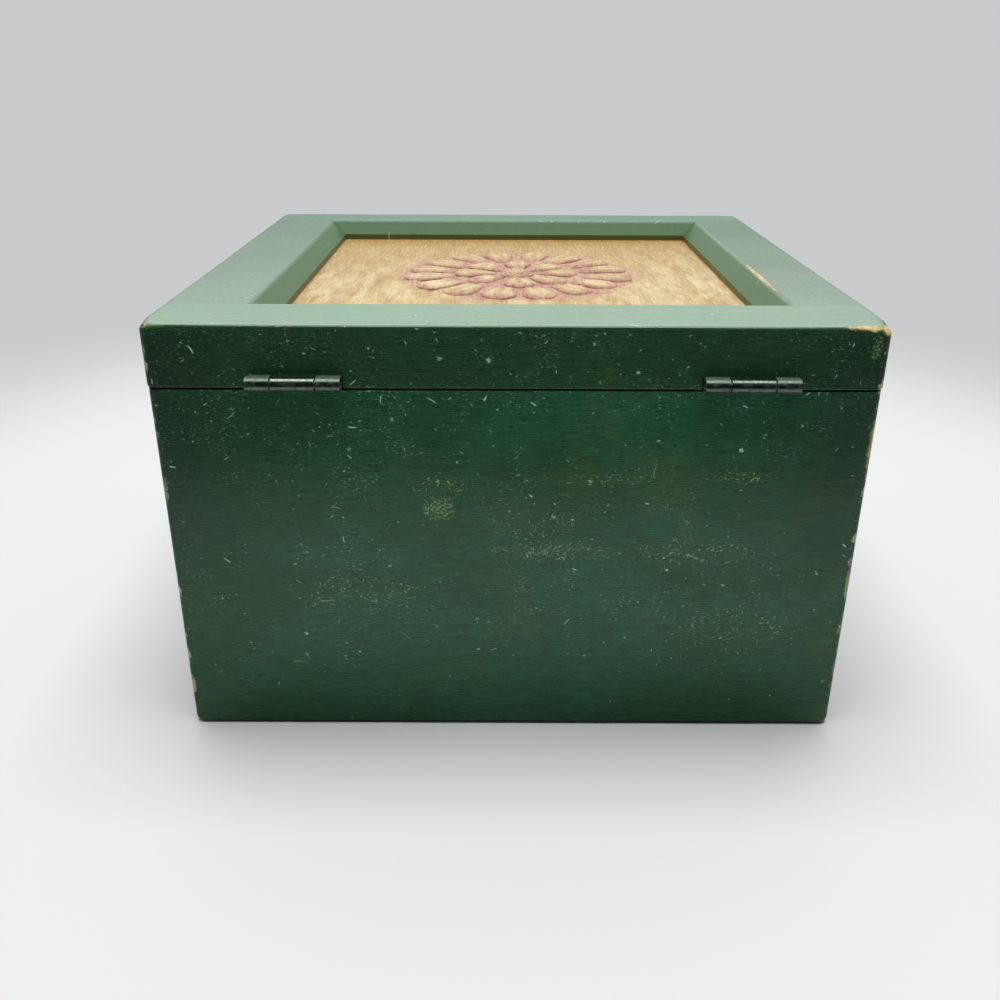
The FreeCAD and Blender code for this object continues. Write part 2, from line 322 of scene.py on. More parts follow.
def newMaterial(name):
    material = bpy.data.materials.new(name)
    material.use_nodes = True
    tree = material.node_tree
    tree.nodes.clear()
    shader = tree.nodes.new("ShaderNodeBsdfPrincipled")
    addNode("ShaderNodeOutputMaterial", {"Surface": shader.outputs[0]})
    spot = scaled(tree.nodes.new("ShaderNodeTexCoord").outputs["Object"], 1000.0)  # millimetres
    return material, tree, shader, spot


def feedShader(tree, shader, colour, roughness, height, depth):
    bump = addNode("ShaderNodeBump", {"Height": height, "Distance": depth, "Strength": 1.0}).outputs[0]
    deliver(tree, shader.inputs, {"Base Color": colour, "Roughness": roughness, "Normal": bump})


def stackBlots(spot, blots, ragged):
    masks = []
    for centre, size, strength in blots:
        masks.append(times(placeGroup("blot", spot, centre, size, ragged)["Mask"], strength))
    return largest(*masks)


# green paint over pale timber, worn at the edges; ramps and clouds as for the masks
paintLook = {
    "deep": tint(40, 92, 58), "cool": tint(46, 103, 73), "lid": tint(42, 82, 51), "topLight": tint(54, 118, 74),
    "olive": tint(80, 108, 56), "thin": tint(104, 126, 66), "rubbed": tint(188, 230, 166),
    "fleck": tint(200, 250, 224), "scuff": tint(212, 250, 222),
    "timber": tint(246, 232, 176), "timberDark": tint(212, 182, 122), "fringe": tint(60, 62, 26),
    # lip is a painted reflection of the gilt plaque, with painted shade, on the frame's lip
    "bevel": tint(80, 104, 64), "lip": tint(120, 114, 70), "seamShadow": tint(12, 20, 14),
    "inside": tint(212, 182, 134), "insideDark": tint(178, 142, 94), "endShade": tint(40, 48, 45),
    "rounding": 0.85,  # how far the rounded uprights lie inside the box corner, mm
    "grainLength": 0.05, "poreLength": 0.4,  # shares of the crosswise fineness
    "grainFineness": 3.3, "streak": (0.32, 0.66, 0.64, 1.27), "broadStreak": (0.3, 0.7, 0.95, 1.05),
    "pores": ((1.7, 3.0, 0.7), (0.3, 0.46, 0.55, 1.04)),
    "patchStretch": (0.55, 0.55, 1.0), "patch": (0.028, 3.0, 0.5),
    "coolEdge": (0.4, 0.62), "topLightEdge": (0.2, 1.4),
    "hazeShift": (310.0, 40.0, 70.0), "haze": ((0.03, 3.0, 0.6), (0.5, 0.72)),
    "hazeAcross": (-70.0, 80.0, 0.5, 0.08),
    "soilAndShade": (0.0, 40.0, 0.5, 0.0), "endShadeUp": (35.0, 92.0, 0.2, 1.0),  # painted shade: the ends go darker, more so towards the top
    "endShadeTop": (4.0, 7.0), "lipTop": (1.8, 2.6), "crowdTop": (5.0, 7.2),  # mm above the recess floor
    "bevelShare": 0.7, "lipShare": 0.7,
    "crowdWide": ((0.035, 2.0, 0.6), (0.38, 0.68, 0.14, 1.1)),
    "crowdNear": ((0.13, 2.0, 0.6), (0.4, 0.64, 0.25, 1.7)),
    "crowdAcross": (-98.0, -50.0, 0.5, 1.0), "crowdRim": (0.0, 8.0, 0.42, 0.0),
    "crowdTopShare": 0.35, "crowdUp": (4.0, 46.0, 0.15, 1.0), "crowdSunk": 0.9, "rubCrowd": 0.7,
    "thinShare": 0.24, "rubCells": (0.9, 1.3, 2.0), "rubWidth": 0.24, "rubBend": 0.8, "rubShare": 0.66,
    "dust": (1.7, 0.57), "dustShare": 0.24, "markShare": 0.9,  # dust fineness and level
    "chips": ((2.2, 0.42, 0.26), (5.5, 0.5, 0.46), (13.0, 0.55, 0.75)),  # cell, share, size
    "scratches": (  # cell, share, length, width
        (3.4, 0.12, 1.7, 0.22), (8.0, 0.3, 3.4, 0.3), (20.0, 0.9, 6.5, 0.36),
    ),
    "scratchBend": 1.1, "blotRagged": 1.3, "fringeSize": 1.5, "fringeShare": 0.85,
    "uprightRub": (1.5, 0.46, 0.2), "edgeRub": (0.6, 0.48, 0.09), "cornerRub": (1.6, 0.45, 0.05),
    "timberStreak": (0.35, 0.65), "chalk": (0.2, 2.0),
    "chipped": ((0.035, 2.0, 0.6), (0.42, 0.6, 0.15, 1.0)), "chipShare": 0.6,
    "wornShare": 0.5, "wornSeam": (1.0, 3.0),
    # seam and seamOutside place the painted shade along the seam between box and lid
    "seam": (0.21, 0.42, 0.95, 0.0), "seamOutside": (0.5, 2.5, 1.0, 0.0),
    "rings": 130.0, "ringShare": 0.42, "insideStreak": (0.4, 0.7, 0.0, 0.4), "insidePores": 0.35,
    "lapRagged": (0.35, 3.0, 0.6), "lapSwing": -2.2, "lapEdge": (0.5, 0.9),  # paint runs over onto bare rims
    "sunkEdge": (0.25, 1.2), "rough": (0.2, 0.8, 0.36, 0.46), "roughBare": 0.3, "roughScars": 0.15,
    "fineHeight": 0.4, "broadHeight": 0.35, "scarDepth": 0.3, "wornDepth": 0.35, "bump": 0.00007,
    "sunkGloss": 0.85, "glossEdge": (0.2, 2.4, 0.15, 1.0), "coat": 0.8,
    "fixed": {"Coat Roughness": 0.16, "Coat IOR": 1.43, "Specular IOR Level": 0.05},
}
rubSpots = {  # thin paint: centre and half sizes in mm, strength
    "wall": [
        ((21, 98, 73), (6, 3, 4.8), 1.0), ((20, 98, 80), (10, 3, 5), 0.25),
        ((-13, 98, 60), (22, 3, 4), 0.36), ((-50, 98, 60), (24, 3, 5), 0.22),
        ((-62, 98, 83), (11, 3, 2.5), 0.36), ((-20, 98, 82), (24, 3, 2.0), 0.28),
        ((-5, 98, 68), (16, 3, 6), 0.18), ((46, 98, 47), (26, 3, 8), 0.14),
        ((-66, 98, 34), (24, 3, 9), 0.14),
    ],
    "lid": [((-94.4, 98, 119.5), (1.8, 3, 4.2), 1.0)],
}
bareSpots = {  # paint gone to the timber
    "upright": [((-97.5, 97.5, 92), (1.8, 2.4, 9), 0.6)],
    "corner": [
        ((-94.5, 97.4, 125.0), (10.0, 2.0, 1.4), 1.0), ((-96.6, 96.6, 124.0), (2.2, 2.4, 2.2), 0.9),
        ((97.5, 97.3, 124.9), (2.4, 2.2, 1.2), 0.75),
    ],
    "opening": [((-78.4, 32, 124.9), (0.7, 26, 1.0), 0.8)],
}
recessFloor = {"box": 999.0, "lid": round(plaqueFace - 0.4, 3)}  # painted inner faces lie above this
paintBases = {  # colour and share of the cool green; the lid's darker green is painted shade for its sides
    "box": (paintLook["deep"], 1.0), "lid": (paintLook["lid"], 0.2),
}
paintKinds = {  # axis is the way the grain runs
    "greenPaintRear": {"body": "box", "axis": 0, "thin": rubSpots["wall"], "gone": bareSpots["upright"]},
    "greenPaintFront": {"body": "box", "axis": 0, "thin": [], "gone": []},
    "greenPaintSide": {"body": "box", "axis": 1, "thin": [], "gone": bareSpots["upright"]},
    # lightShare: how much of the lid's top takes the lighter green of painted light
    "greenPaintLidAcross": {
        "body": "lid", "axis": 0, "lightShare": 0.95, "thin": rubSpots["lid"], "gone": bareSpots["corner"],
    },
    "greenPaintLidAlong": {
        "body": "lid", "axis": 1, "lightShare": 0.45, "thin": [],
        "gone": bareSpots["corner"] + bareSpots["opening"],
    },
}


# body of the paint: drifting greens, brush lines, painted shade at the ends
def paintBody(spot, faces, lines, kind, sunk):
    look, floor = paintLook, recessFloor[kind["body"]]
    px, up = splitXyz(spot, (0, 2))

    def topped(name, low, high):
        return ramp(up, *(floor + rise for rise in look[name]), low, high)

    base, coolShare = paintBases[kind["body"]]
    patch = cloud(vectorMaths("MULTIPLY", spot, look["patchStretch"]), *look["patch"])
    colour = blendTint(ramp(patch, *look["coolEdge"], 0.0, coolShare), base, look["cool"])
    if kind["body"] == "lid":  # painted light: the lid's top takes a lighter green than its sides
        topLight = ramp(faces["Flank"], *look["topLightEdge"], 0.0, kind["lightShare"])
        colour = blendTint(times(topLight, maths("GREATER_THAN", up, floor)), colour, look["topLight"])
    haze = patches(vectorMaths("ADD", spot, look["hazeShift"]), *look["haze"])
    colour = blendTint(times(haze, ramp(px, *look["hazeAcross"])), colour, look["olive"])
    drawn = vectorMaths("MULTIPLY", spot, stretched(kind["axis"], look["poreLength"]))
    shade = times(ramp(lines["Fine"], *look["streak"]), ramp(lines["Broad"], *look["broadStreak"]))
    shade = times(shade, patches(drawn, *look["pores"]))
    shade = addNode("ShaderNodeCombineColor", {0: shade, 1: shade, 2: shade}).outputs[0]
    colour = blendTint(1.0, colour, shade, "MULTIPLY")
    # painted shade: darker near the ends of each face, strongest towards the top, less on the lid's top
    soilAndShade = times(ramp(faces["Upright"], *look["soilAndShade"]), ramp(up, *look["endShadeUp"]))
    soilAndShade = times(soilAndShade, topped("endShadeTop", 1.0, 0.1))
    # painted reflection: the lip wall above the plaque takes an olive-brown as if it mirrored the gilt
    lip = times(topped("lipTop", look["lipShare"], 0.0), sunk)
    bevel = times(sunk, look["bevelShare"])
    return layered(colour, (soilAndShade, look["endShade"]), (bevel, look["bevel"]), (lip, look["lip"]))


# chips, dust and scratches, crowded in patches and near the edges
def paintMarks(spot, faces, kind, sunk, colour):
    look, plane, floor = paintLook, faces["Plane"], recessFloor[kind["body"]]
    px, up = splitXyz(spot, (0, 2))
    crowd = times(patches(plane, *look["crowdWide"]), patches(plane, *look["crowdNear"]))
    crowd = times(crowd, ramp(px, *look["crowdAcross"]))
    crowd = plus(crowd, ramp(faces["Edge"], *look["crowdRim"]))
    crowd = times(crowd, ramp(up, *(floor + rise for rise in look["crowdTop"]), 1.0, look["crowdTopShare"]))
    crowd = times(crowd, ramp(up, *look["crowdUp"]), minus(1.0, times(sunk, look["crowdSunk"])))
    if kind["thin"]:
        rubbed = stackBlots(spot, kind["thin"], look["blotRagged"])
        colour = blendTint(times(rubbed, look["thinShare"]), colour, look["thin"])
        for cell in look["rubCells"]:
            scored = placeGroup("scuffs", plane, cell, rubbed, cell * 2.0, look["rubWidth"], look["rubBend"])
            colour = blendTint(times(scored["Mask"], look["rubShare"]), colour, look["rubbed"])
        crowd = plus(crowd, times(rubbed, look["rubCrowd"]))
    scars = times(placeGroup("speckle", plane, *look["dust"])["Mask"], crowd, look["dustShare"])
    for cell, share, size in look["chips"]:
        scars = largest(scars, placeGroup("flecks", plane, cell, times(crowd, share), size)["Mask"])
    colour = blendTint(times(scars, look["markShare"]), colour, look["fleck"])
    for cell, share, length, width in look["scratches"]:
        bend = look["scratchBend"] / length
        scratch = placeGroup("scuffs", plane, cell, times(crowd, share), length, width, bend)["Mask"]
        colour = blendTint(times(scratch, look["markShare"]), colour, look["scuff"])
        scars = largest(scars, scratch)
    return colour, scars


# timber that shows at edges and knocked corners, and painted shade: a near-black band on the outer faces
# along the seam under the lid
def paintWear(spot, faces, lines, kind, upright, colour):
    look = paintLook
    fromSeam = maths("ABSOLUTE", minus(splitXyz(spot)[2], seamHeight))
    timber = blendTint(ramp(lines["Fine"], *look["timberStreak"]), look["timber"], look["timberDark"])
    chalk = blendTint(cloud(spot, *look["chalk"]), look["fleck"], look["timber"])

    def rub(distance, name):
        return placeGroup("rub", distance, spot, *look[name])["Mask"]

    chipped = times(rub(upright, "uprightRub"), patches(spot, *look["chipped"]))
    colour = blendTint(times(chipped, look["chipShare"]), colour, chalk)
    worn = largest(rub(faces["Edge"], "edgeRub"), rub(faces["Corner"], "cornerRub"))
    worn = times(worn, look["wornShare"], ramp(fromSeam, *look["wornSeam"]))
    if kind["gone"]:
        around = []
        for place, size, strength in kind["gone"]:
            wider = [part * look["fringeSize"] for part in size]
            around.append((place, wider, strength * look["fringeShare"]))
        colour = blendTint(stackBlots(spot, around, look["blotRagged"]), colour, look["fringe"])
        worn = largest(worn, stackBlots(spot, kind["gone"], look["blotRagged"]))
    # painted shade: near-black colour along the seam, on the outer faces only
    seam = times(ramp(fromSeam, *look["seam"]), ramp(faces["Flank"], *look["seamOutside"]))
    return layered(colour, (worn, timber), (seam, look["seamShadow"])), largest(worn, chipped), seam


# the inside stays bare, with paint lapping over the rims
def paintInside(spot, faces, lines, kind, grain, colour):
    look = paintLook
    figure = placeGroup("figure", spot, grain, look["rings"])
    inner = layered(
        look["inside"], (times(figure["Rings"], look["ringShare"]), look["insideDark"]),
        (ramp(lines["Fine"], *look["insideStreak"]), look["insideDark"]),
        (times(figure["Pores"], look["insidePores"]), look["timberDark"]),
    )
    swing = times(cloud(spot, *look["lapRagged"]), look["lapSwing"])
    bare = ramp(plus(faces["Skin"], swing), *look["lapEdge"])
    bare = times(bare, maths("LESS_THAN", splitXyz(spot)[2], recessFloor[kind["body"]]))
    return blendTint(bare, colour, inner), bare


def makePaint(name, kind):
    material, tree, shader, spot = newMaterial(name)
    look = paintLook
    grain = stretched(kind["axis"], look["grainLength"])
    faces = placeGroup("faces", spot, *bodyBox[kind["body"]])
    lines = placeGroup("grain", spot, grain, look["grainFineness"])
    upright = minus(faces["Upright"], look["rounding"])
    # the bevel and lip round the plaque
    sunk = maths("GREATER_THAN", splitXyz(spot)[2], recessFloor[kind["body"]])
    sunk = times(ramp(faces["Skin"], *look["sunkEdge"]), sunk)
    colour = paintBody(spot, faces, lines, kind, sunk)
    colour, scars = paintMarks(spot, faces, kind, sunk, colour)
    colour, worn, seam = paintWear(spot, faces, lines, kind, upright, colour)
    colour, bare = paintInside(spot, faces, lines, kind, grain, colour)
    opened = largest(worn, seam, bare)
    rough = ramp(lines["Fine"], *look["rough"])
    rough = plus(rough, times(opened, look["roughBare"]), times(scars, look["roughScars"]))
    height = plus(times(lines["Fine"], look["fineHeight"]), times(lines["Broad"], look["broadHeight"]))
    height = minus(height, times(scars, look["scarDepth"]), times(worn, look["wornDepth"]))
    feedShader(tree, shader, colour, rough, height, look["bump"])
    # bare timber, the bevel and handled edges lose their gloss
    gloss = minus(1.0, largest(opened, times(sunk, look["sunkGloss"])))
    gloss = times(gloss, ramp(upright, *look["glossEdge"]), look["coat"])
    tree.links.new(gloss, shader.inputs["Coat Weight"])
    for label, value in look["fixed"].items():
        shader.inputs[label].default_value = value
    return material


paints = {name: makePaint(name, kind) for name, kind in paintKinds.items()}
print("paint ready:", len(paints))

# thin bare boards: the floor of the box and the backing in the lid
boardLook = {
    "fibre": tint(186, 146, 98), "rings": 120.0, "streak": (0.4, 0.7, 0.0, 0.5),
    # on the bare boards soilAndShade gives only patches of dirt
    "soilAndShade": ((0.025, 3.0, 0.6), (0.5, 0.8, 0.0, 0.35)),
    "strands": ((1.7, 2.4, "dark"), (2.3, 3.0, "fibre"), (26.0, 24.0, "fibre")),  # cell, length, colour
    "strandWidth": 0.3, "strandShare": 0.5, "rough": (0.2, 0.8, 0.6, 0.78), "bump": 0.00012,
}
boardKinds = {
    "bareTimber": {
        "light": tint(208, 178, 130), "dark": tint(170, 132, 84),
        "stretch": stretched(0, paintLook["grainLength"]), "fineness": 1.5, "ringShare": 0.42, "fibres": 0.0,
    },
    "pressedBoard": {
        "light": tint(142, 100, 62), "dark": tint(104, 70, 42),
        "stretch": (1.0, 1.0, 1.0), "fineness": 1.6, "ringShare": 0.0, "fibres": 0.7,
    },
}


def makeBareBoard(name, kind):
    material, tree, shader, spot = newMaterial(name)
    look = boardLook | kind
    lines = placeGroup("grain", spot, look["stretch"], look["fineness"])
    rings = placeGroup("figure", spot, look["stretch"], look["rings"])["Rings"]
    masks = [times(rings, look["ringShare"]), ramp(lines["Fine"], *look["streak"])]
    masks.append(patches(spot, *look["soilAndShade"]))
    colour = layered(look["light"], *((mask, look["dark"]) for mask in masks))
    for cell, length, finish in look["strands"] if look["fibres"] else ():
        strand = placeGroup("scuffs", spot, cell, look["fibres"], length, look["strandWidth"], 1.0 / length)
        colour = blendTint(times(strand["Mask"], look["strandShare"]), colour, look[finish])
    feedShader(tree, shader, colour, ramp(lines["Fine"], *look["rough"]), lines["Fine"], look["bump"])
    return material


bareBoards = {name: makeBareBoard(name, kind) for name, kind in boardKinds.items()}

# aged hinge steel with a little paint dragged over it
steelLook = {
    "paint": tint(116, 136, 114), "rust": tint(82, 76, 58), "tarnish": tint(112, 108, 92),
    "paintHeight": (110.75, 111.2),  # where dragged paint sits on the knuckles, mm
    "leaf": (97.0, 98.0, 1.0, 0.0),  # leaves let into the rims lie short of this, mm
    "mottle": (0.7, 4.0, 0.65), "dullEdge": (0.35, 0.7), "rusty": ((1.8, 4.0, 0.7), (0.6, 0.75, 0.0, 0.4)),
    "brushed": (0.08, 1.0, 1.0), "fineness": 4.0,
    "tarnishEdge": (0.46, 0.7, 0.0, 0.7), "tarnishLines": (0.4, 0.7, 0.0, 0.4),
    "smearShift": (17.0, 5.0, 9.0), "smear": (0.55, 4.0, 0.7), "smearEdge": (0.5, 0.6),
    "drag": (1.3, 3.0, 0.6), "dragEdge": (0.34, 0.46), "endEdge": (0.5, 0.9),
    "leafMetal": (0.0, 1.0, 1.0, 0.55), "rough": (0.3, 0.7, 0.25, 0.37),
    "roughSmear": 0.2, "roughLeaf": 0.18, "lineHeight": 0.3, "smearHeight": 0.4, "bump": 0.00003,
}
knuckle = {"bright": tint(100, 113, 103), "dull": tint(80, 92, 83), "leaf": tint(150, 150, 138)}
bareSteel = {"bright": tint(158, 160, 154), "dull": tint(124, 126, 120), "leaf": tint(190, 188, 174)}
steelKinds = {  # shares of smeared paint, of paint dragged over the top and of paint caught on the ends
    "agedSteel": {"tints": knuckle, "smear": 0.22, "drag": 0.0, "ends": 0.0},
    "daubedSteel": {"tints": knuckle, "smear": 0.3, "drag": 0.72, "ends": 0.7},
    "screwSteel": {"tints": bareSteel, "smear": 0.1, "drag": 0.0, "ends": 0.0},
}


def makeSteel(name, kind):
    material, tree, shader, spot = newMaterial(name)
    look, tints = steelLook, kind["tints"]
    py, pz = splitXyz(spot, (1, 2))
    mottled = cloud(spot, *look["mottle"])
    lines = placeGroup("grain", spot, look["brushed"], look["fineness"])
    # flat leaves are dull, tarnished in patches
    flat = ramp(py, *look["leaf"])
    patchy, lined = ramp(mottled, *look["tarnishEdge"]), ramp(lines["Fine"], *look["tarnishLines"])
    plain = layered(tints["leaf"], (patchy, look["tarnish"]), (lined, look["tarnish"]))
    smear = cloud(vectorMaths("ADD", spot, look["smearShift"]), *look["smear"])
    smear = times(ramp(smear, *look["smearEdge"], 0.0, kind["smear"]), minus(1.0, flat))
    drag = ramp(cloud(spot, *look["drag"]), *look["dragEdge"], 0.0, kind["drag"])
    drag = times(drag, ramp(pz, *look["paintHeight"]))
    facing = maths("ABSOLUTE", splitXyz(tree.nodes.new("ShaderNodeNewGeometry").outputs["Normal"])[0])
    smear = largest(smear, drag, ramp(facing, *look["endEdge"], 0.0, kind["ends"]))
    dulled, rusty = ramp(mottled, *look["dullEdge"]), patches(spot, *look["rusty"])
    colour = layered(tints["bright"], (dulled, tints["dull"]), (rusty, look["rust"]))
    colour = layered(colour, (flat, plain), (smear, look["paint"]))
    metal = times(minus(1.0, smear), ramp(flat, *look["leafMetal"]))
    tree.links.new(metal, shader.inputs["Metallic"])
    rough = plus(ramp(mottled, *look["rough"]), times(smear, look["roughSmear"]))
    rough = plus(rough, times(flat, look["roughLeaf"]))
    height = plus(times(lines["Fine"], look["lineHeight"]), times(smear, look["smearHeight"]))
    feedShader(tree, shader, colour, rough, height, look["bump"])
    return material


steels = {name: makeSteel(name, kind) for name, kind in steelKinds.items()}
print("boards and steel ready")

# relief plaque: combed golden ground with a dusky rosette
plaqueLook = {
    "gold": tint(160, 125, 52), "cream": tint(208, 186, 138), "brown": tint(144, 108, 56),
    "pale": tint(234, 216, 174), "mauve": tint(184, 130, 112), "mauveDark": tint(138, 90, 78),
    "strokeLength": 0.24, "combLength": 0.06,  # shares of the crosswise fineness
    "dabs": (0.2, 5.0, 0.62, 0.3), "fine": (1.1, 5.0, 0.65),
    "combed": (1.9, 4.0, 0.6, 0.2), "wide": (0.035, 2.0, 0.5),
    "creamEdge": (0.3, 0.68), "wideEdge": (0.45, 0.75, 0.0, 0.5), "farGold": (20.0, -75.0, 0.0, 0.9),
    "brownEdge": (0.56, 0.76, 0.0, 0.35),
    "combDark": (0.52, 0.66, 0.0, 0.38), "combPale": (0.34, 0.46, 0.4, 0.0),
    "torn": (0.16, 4.0, 0.6), "tornSwing": 9.0,
    "washEdge": (39.0, 44.0, 1.0, 0.0), "washShare": (0.36, 0.62, 0.95, 0.5),
    "duskyEdge": (0.4, 0.7), "crownSwing": 1.6, "crownEdge": (0.35, 1.1), "crownHighlight": (0.8, 1.5, 0.0, 0.6),
    "hollow": (-0.35, 0.05, 0.45, 0.0), "rough": (0.3, 0.7, 0.42, 0.62),
    "fineHeight": 0.6, "dabHeight": 0.3, "combDepth": 0.35, "bump": 0.0004,
}


def makeGilt(name, petals):
    material, tree, shader, spot = newMaterial(name)
    look = plaqueLook
    py, pz = splitXyz(spot, (1, 2))
    stroke = vectorMaths("MULTIPLY", spot, stretched(1, look["strokeLength"]))
    comb = vectorMaths("MULTIPLY", spot, stretched(1, look["combLength"]))
    dabs, fine = cloud(stroke, *look["dabs"]), cloud(stroke, *look["fine"])
    combed, wide = cloud(comb, *look["combed"]), cloud(spot, *look["wide"])
    colour = look["gold"]
    for value, edge, shade in (
        (dabs, "creamEdge", "cream"), (wide, "wideEdge", "gold"), (py, "farGold", "gold"),
        (fine, "brownEdge", "brown"), (combed, "combDark", "brown"), (combed, "combPale", "pale"),
    ):
        colour = blendTint(ramp(value, *look[edge]), colour, look[shade])
    lift = minus(pz, plaqueFace)
    dusky = blendTint(ramp(fine, *look["duskyEdge"]), look["mauve"], look["mauveDark"])
    if petals:
        crown = plus(lift, times(minus(dabs, 0.5), look["crownSwing"]))
        colour = blendTint(ramp(crown, *look["crownEdge"]), dusky, colour)
        # painted highlight: pale cream on the highest crowns of the petals
        colour = blendTint(ramp(lift, *look["crownHighlight"]), colour, look["pale"])
    else:
        offset = vectorMaths("SUBTRACT", spot, (*plaqueMiddle, 0.0))
        away = lengthOf(vectorMaths("MULTIPLY", offset, (1.0, 1.0, 0.0)))
        torn = times(minus(cloud(spot, *look["torn"]), 0.5), look["tornSwing"])
        wash = times(ramp(plus(away, torn), *look["washEdge"]), ramp(dabs, *look["washShare"]))
        colour = layered(colour, (wash, dusky), (ramp(lift, *look["hollow"]), look["brown"]))
    height = plus(times(fine, look["fineHeight"]), times(dabs, look["dabHeight"]))
    height = minus(height, times(combed, look["combDepth"]))
    feedShader(tree, shader, colour, ramp(fine, *look["rough"]), height, look["bump"])
    return material


gilt = {"ground": makeGilt("giltGround", False), "petal": makeGilt("giltPetal", True)}


# small helpers for meshes
def newPiece(name, mesh, *materials):
    piece = bpy.data.objects.new(name, mesh)
    scene.collection.objects.link(piece)
    for material in materials:
        mesh.materials.append(material)
    return piece


def finishMesh(bm, name, flat=()):
    for face in bm.faces:
        face.smooth = face not in flat
    mesh = bpy.data.meshes.new(name)
    bm.to_mesh(mesh)
    bm.free()
    return mesh


def skinGrid(bm, grid):
    for low, high in zip(grid, grid[1:]):
        for i in range(len(low) - 1):
            bm.faces.new((low[i], low[i + 1], high[i + 1], high[i]))


def skinLoops(bm, loops):
    skinGrid(bm, [loop + loop[:1] for loop in loops])


# ground of the plaque: a combed, dabbed surface closed by its edges and back; sizes in mm
groundShape = {
    "step": 0.62, "seed": 11.0, "rim": 5.2, "rimRise": 2.5, "rimDrop": 0.05,  # flat under the frame's lip
    "waves": (  # height, length across and along, shift of the seed
        (0.34, 4.2, 20.0, 0.0), (0.18, 2.6, 6.0, 9.0), (0.07, 0.9, 1.6, 21.0),
    ),
}


def groundHeight(x, y):
    height = 0.0
    for share, across, along, shift in groundShape["waves"]:
        height += share * noise.noise(Vector((x / across, y / along, groundShape["seed"] + shift)))
    return height


def makeGround():
    shape = groundShape
    (x0, y0), (x1, y1) = plaqueLow[:2], plaqueHigh[:2]
    columns = int((x1 - x0) / shape["step"])
    rows = int((y1 - y0) / shape["step"])
    bm = bmesh.new()
    grid = []
    for j in range(rows + 1):
        line = []
        for i in range(columns + 1):
            x = x0 + (x1 - x0) * i / columns
            y = y0 + (y1 - y0) * j / rows
            rim = min(x - x0, x1 - x, y - y0, y1 - y)
            lift = min(1.0, max(0.0, (rim - shape["rim"]) / shape["rimRise"]))
            z = plaqueFace - shape["rimDrop"] * (1 - lift) + groundHeight(x, y) * lift
            line.append(bm.verts.new(metres(x, y, z)))
        grid.append(line)
    skinGrid(bm, grid)
    loop = grid[0] + [line[-1] for line in grid[1:]] + grid[-1][-2::-1] + [line[0] for line in grid[-2:0:-1]]
    under = [bm.verts.new((v.co.x, v.co.y, plaqueLow[2] / 1000)) for v in loop]
    skinLoops(bm, [under, loop])
    back = bm.faces.new(under[::-1])
    return finishMesh(bm, "plaqueGround", [back])


# rosette of two rings of petals round a seeded boss, sizes in mm
rosetteShape = {
    "rings": {
        # root and tip are reach and radius
        "innerRing": {"count": 8, "root": (9.0, 2.0), "tip": (17.0, 5.2), "turn": 0.0, "seed": 4},
        "outerRing": {"count": 16, "root": (25.5, 3.4), "tip": (34.5, 5.6), "turn": math.pi / 16, "seed": 5},
    },
    "sway": 0.035, "sizeLow": 0.96, "sizeHigh": 1.03, "bed": 0.1,
    "petalRows": 26, "petalColumns": 18, "petalHeight": 1.5, "petalSink": 0.9,
    "domePower": 0.9, "endPower": 0.45, "crease": 0.38, "creaseWidth": 0.2, "vein": 0.06, "veinCount": 14,
    "rise": (0.75, 0.35),  # share of the height at the root, and what the tip gains
    "bossRadius": 6.2, "bossHeight": 1.3, "bossRings": 7, "bossSpokes": 40,
    "seedCount": 46, "seedSize": 0.62, "seedFlat": 0.8, "seedSink": 0.35, "seedRings": 3, "seedSpokes": 9,
    "seedReach": 0.86, "seedDome": 0.92, "goldenAngle": 2.39996, "weld": 1e-7,
}


# one petal lying along +X, with a crease down its middle
def makePetal(ring):
    shape = rosetteShape
    (c1, r1), (c2, r2) = ring["root"], ring["tip"]
    lean = (r2 - r1) / (c2 - c1)
    s1, s2 = c1 - r1 * lean, c2 - r2 * lean
    straight = math.sqrt(1 - lean * lean)

    def halfWidth(s):
        if s <= s1:
            return math.sqrt(max(0.0, r1 * r1 - (s - c1) ** 2))
        if s >= s2:
            return math.sqrt(max(0.0, r2 * r2 - (s - c2) ** 2))
        return straight * (r1 + (r2 - r1) * (s - s1) / (s2 - s1))

    rows, columns = shape["petalRows"], shape["petalColumns"]
    start, end = c1 - r1, c2 + r2
    bm = bmesh.new()
    grid = []
    for j in range(rows + 1):
        turn = 0.5 - 0.5 * math.cos(math.pi * j / rows)
        s = start + (end - start) * turn
        wide = halfWidth(s)
        ends = math.sin(math.pi * min(1.0, max(0.0, turn)))
        line = []
        for i in range(columns + 1):
            t = -math.cos(math.pi * i / columns)
            dome = math.sqrt(max(0.0, 1 - t * t)) ** shape["domePower"] * ends ** shape["endPower"]
            crease = 1 - shape["crease"] * math.exp(-((t / shape["creaseWidth"]) ** 2)) * ends
            veins = 1 + shape["vein"] * math.cos(t * shape["veinCount"])
            z = shape["petalHeight"] * dome * crease * veins * (shape["rise"][0] + shape["rise"][1] * turn)
            line.append(bm.verts.new(metres(s, t * wide, z)))
        grid.append(line)
    skinGrid(bm, list(zip(*grid)))
    bmesh.ops.remove_doubles(bm, verts=bm.verts[:], dist=shape["weld"])
    rim = [edge for edge in bm.edges if edge.is_boundary]
    drop = bmesh.ops.extrude_edge_only(bm, edges=rim)["geom"]
    for v in (part for part in drop if isinstance(part, bmesh.types.BMVert)):
        v.co.z -= shape["petalSink"] / 1000
    bmesh.ops.holes_fill(bm, edges=[edge for edge in bm.edges if edge.is_boundary], sides=0)
    bmesh.ops.recalc_face_normals(bm, faces=bm.faces[:])
    return finishMesh(bm, "petal")


# geometry nodes: a tree that sets copies of the incoming mesh on points
def newSpread(name, inlets):
    tree, ins, outs = newGroup(name, "Geometry Count Centre Finish " + inlets, "Geometry", "Geometry")
    return tree, ins, outs, tree.nodes.new("GeometryNodeInputIndex").outputs[0]


